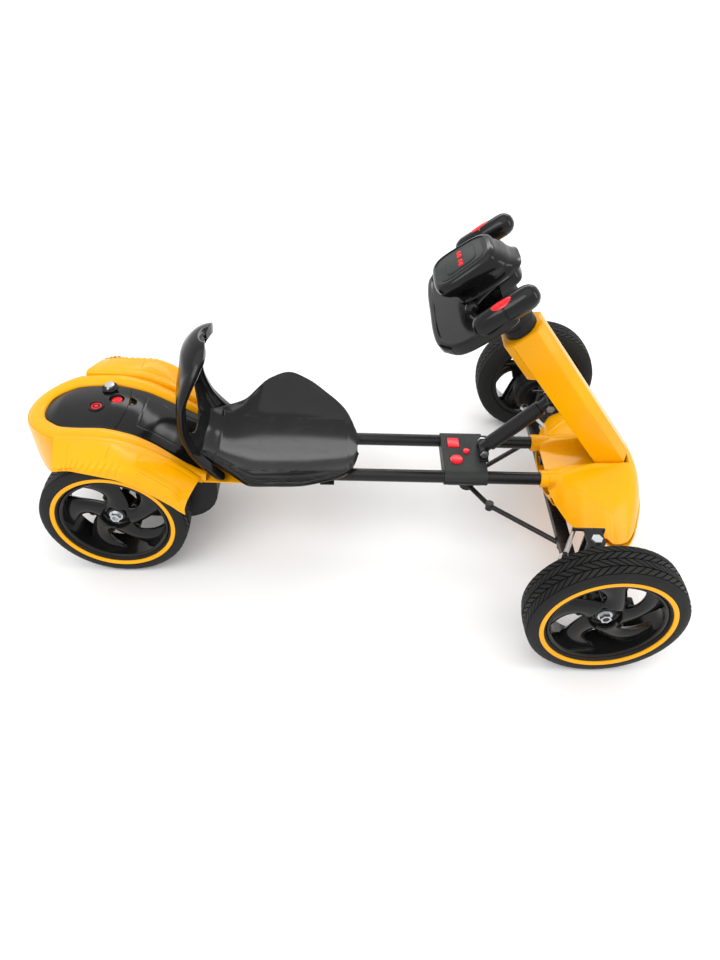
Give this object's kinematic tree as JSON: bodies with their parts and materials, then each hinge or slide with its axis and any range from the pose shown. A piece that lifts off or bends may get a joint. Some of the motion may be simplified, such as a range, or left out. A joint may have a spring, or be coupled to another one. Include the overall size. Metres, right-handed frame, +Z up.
{
  "type": "battery ride-on kart",
  "caption": "Low child's kart with two tube rails, moulded seat and rear body, steered front axle with geared motors, and a horned steering wheel.",
  "frame": {"origin": "on the ground plane, under the centre of the bounding box; the middle plane of the kart is y = 0", "axes": "+X forward, from the tail to the nose; +Y to the rider's left; +Z up"},
  "size_m": [1.035, 0.666, 0.5659],
  "materials": {
    "yellow_plastic": "glossy injection-moulded yellow",
    "black_gloss": "glossy black moulding",
    "black_satin": "fine satin black moulding",
    "grey_satin": "satin dark grey moulding",
    "red_plastic": "glossy red",
    "black_paint": "semi-gloss black powder coat",
    "satin_paint": "satin black powder coat",
    "zinc_steel": "zinc-plated, lightly scuffed",
    "tyre": "black tread rubber",
    "battery_case": "matte dark case"
  },
  "bodies": {
    "chassis": {"rail_left": "black_paint", "rail_right": "black_paint", "front_frame": "black_paint", "kingpins": "zinc_steel", "rear_axle": "zinc_steel", "rear_axle_brackets": "black_paint", "rear_axle_nuts": "zinc_steel", "rear_body": "yellow_plastic", "fender_left": "yellow_plastic", "fender_right": "yellow_plastic", "deck_panel": "black_gloss", "belly_tray": "black_satin", "battery": "battery_case", "seat": "black_gloss", "seat_brackets": "satin_paint", "frame_bolts": "zinc_steel", "box_upper": "grey_satin", "box_lower": "black_satin", "stay_rods": "black_paint", "strut": "satin_paint", "strut_brackets": "satin_paint", "column_tube": "satin_paint", "column_foot": "satin_paint", "shroud_front": "yellow_plastic", "shroud_rear": "yellow_plastic", "fairing_upper": "yellow_plastic", "fairing_lower": "yellow_plastic"},
    "lid": {"battery_lid": "black_gloss", "latch_plate": "black_satin"},
    "latch": {"latch_knob": "zinc_steel"},
    "power": {"power_button": "red_plastic"},
    "charge": {"charge_button": "red_plastic"},
    "direction": {"direction_rocker": "red_plastic"},
    "speed": {"speed_button": "red_plastic"},
    "start": {"start_button": "red_plastic"},
    "steering": {"steering_shaft": "zinc_steel", "steering_collar": "black_satin", "steering_wheel": "black_gloss", "wheel_pod": "black_gloss", "drop_arm": "zinc_steel"},
    "pod_left": {"pod_rocker_left": "red_plastic"},
    "pod_right": {"pod_rocker_right": "red_plastic"},
    "thumb_left": {"thumb_pad_left": "red_plastic"},
    "thumb_right": {"thumb_pad_right": "red_plastic"},
    "carrier_left": {"knuckle_left": "satin_paint", "gearbox_left": "black_satin", "hub_nut_left": "zinc_steel"},
    "carrier_right": {"knuckle_right": "satin_paint", "gearbox_right": "black_satin", "hub_nut_right": "zinc_steel"},
    "rod_left": {"tie_rod_left": "zinc_steel"},
    "rod_right": {"tie_rod_right": "zinc_steel"},
    "wheel_front_left": {"tyre_front_left": "tyre", "rim_front_left": "black_gloss"},
    "wheel_front_right": {"tyre_front_right": "tyre", "rim_front_right": "black_gloss"},
    "wheel_rear_left": {"tyre_rear_left": "tyre", "rim_rear_left": "black_gloss"},
    "wheel_rear_right": {"tyre_rear_right": "tyre", "rim_rear_right": "black_gloss"}
  },
  "joints": [
    {"name": "steering_turn", "type": "hinge", "parent": "chassis", "child": "steering", "pos_m": [0.4825, 0, 0.148], "axis": [-0.6225, 0, 0.7826], "range_deg": [-25, 25]},
    {"name": "carrier_left_turn", "type": "hinge", "parent": "chassis", "child": "carrier_left", "pos_m": [0.3975, 0.209, 0.13], "axis": [0, 0, 1], "range_deg": [-25, 25]},
    {"name": "rod_left_turn", "type": "hinge", "parent": "carrier_left", "child": "rod_left", "pos_m": [0.3625, 0.195, 0.118], "axis": [0, 0, 1], "range_deg": [-28, 28]},
    {"name": "wheel_front_left_spin", "type": "hinge", "parent": "carrier_left", "child": "wheel_front_left", "pos_m": [0.3975, 0.304, 0.12], "axis": [0, 1, 0], "continuous": true},
    {"name": "wheel_rear_left_spin", "type": "hinge", "parent": "chassis", "child": "wheel_rear_left", "pos_m": [-0.3675, 0.12, 0.12], "axis": [0, 1, 0], "continuous": true},
    {"name": "carrier_right_turn", "type": "hinge", "parent": "chassis", "child": "carrier_right", "pos_m": [0.3975, -0.209, 0.13], "axis": [0, 0, 1], "range_deg": [-25, 25]},
    {"name": "rod_right_turn", "type": "hinge", "parent": "carrier_right", "child": "rod_right", "pos_m": [0.3625, -0.195, 0.118], "axis": [0, 0, 1], "range_deg": [-28, 28]},
    {"name": "wheel_front_right_spin", "type": "hinge", "parent": "carrier_right", "child": "wheel_front_right", "pos_m": [0.3975, -0.304, 0.12], "axis": [0, 1, 0], "continuous": true},
    {"name": "wheel_rear_right_spin", "type": "hinge", "parent": "chassis", "child": "wheel_rear_right", "pos_m": [-0.3675, -0.12, 0.12], "axis": [0, 1, 0], "continuous": true},
    {"name": "lid_open", "type": "hinge", "parent": "chassis", "child": "lid", "pos_m": [-0.4905, 0, 0.2455], "axis": [0, -1, 0], "range_deg": [0, 75]},
    {"name": "latch_turn", "type": "hinge", "parent": "lid", "child": "latch", "pos_m": [-0.3935, 0.042, 0.25], "axis": [0, 0, 1], "range_deg": [0, 90]},
    {"name": "power_press", "type": "slide", "parent": "lid", "child": "power", "axis": [0, 0, -1], "range_m": [0, 0.002], "stiffness_N_per_m": 400},
    {"name": "charge_press", "type": "slide", "parent": "lid", "child": "charge", "axis": [0, 0, -1], "range_m": [0, 0.002], "stiffness_N_per_m": 400},
    {"name": "speed_press", "type": "slide", "parent": "chassis", "child": "speed", "axis": [0, 0, -1], "range_m": [0, 0.002], "stiffness_N_per_m": 400},
    {"name": "start_press", "type": "slide", "parent": "chassis", "child": "start", "axis": [0, 0, -1], "range_m": [0, 0.002], "stiffness_N_per_m": 400},
    {"name": "direction_tilt", "type": "hinge", "parent": "chassis", "child": "direction", "pos_m": [0.1985, 0.026, 0.16], "axis": [0, 1, 0], "range_deg": [-6, 6], "stiffness_Nm_per_rad": 0.05},
    {"name": "pod_left_tilt", "type": "hinge", "parent": "steering", "child": "pod_left", "pos_m": [0.16432, 0.012, 0.5223], "axis": [0.7826, 0, 0.6225], "range_deg": [-4, 4], "stiffness_Nm_per_rad": 0.05},
    {"name": "thumb_left_press", "type": "slide", "parent": "steering", "child": "thumb_left", "axis": [0.6225, 0, -0.7826], "range_m": [0, 0.0015], "stiffness_N_per_m": 400},
    {"name": "pod_right_tilt", "type": "hinge", "parent": "steering", "child": "pod_right", "pos_m": [0.16432, -0.012, 0.5223], "axis": [0.7826, 0, 0.6225], "range_deg": [-4, 4], "stiffness_Nm_per_rad": 0.05},
    {"name": "thumb_right_press", "type": "slide", "parent": "steering", "child": "thumb_right", "axis": [0.6225, 0, -0.7826], "range_m": [0, 0.0015], "stiffness_N_per_m": 400}
  ],
  "couplings": [
    {"joint": "carrier_left_turn", "follows": "steering_turn", "ratio": 1},
    {"joint": "rod_left_turn", "follows": "steering_turn", "ratio": -1.073},
    {"joint": "carrier_right_turn", "follows": "steering_turn", "ratio": 1},
    {"joint": "rod_right_turn", "follows": "steering_turn", "ratio": -1.073}
  ]
}
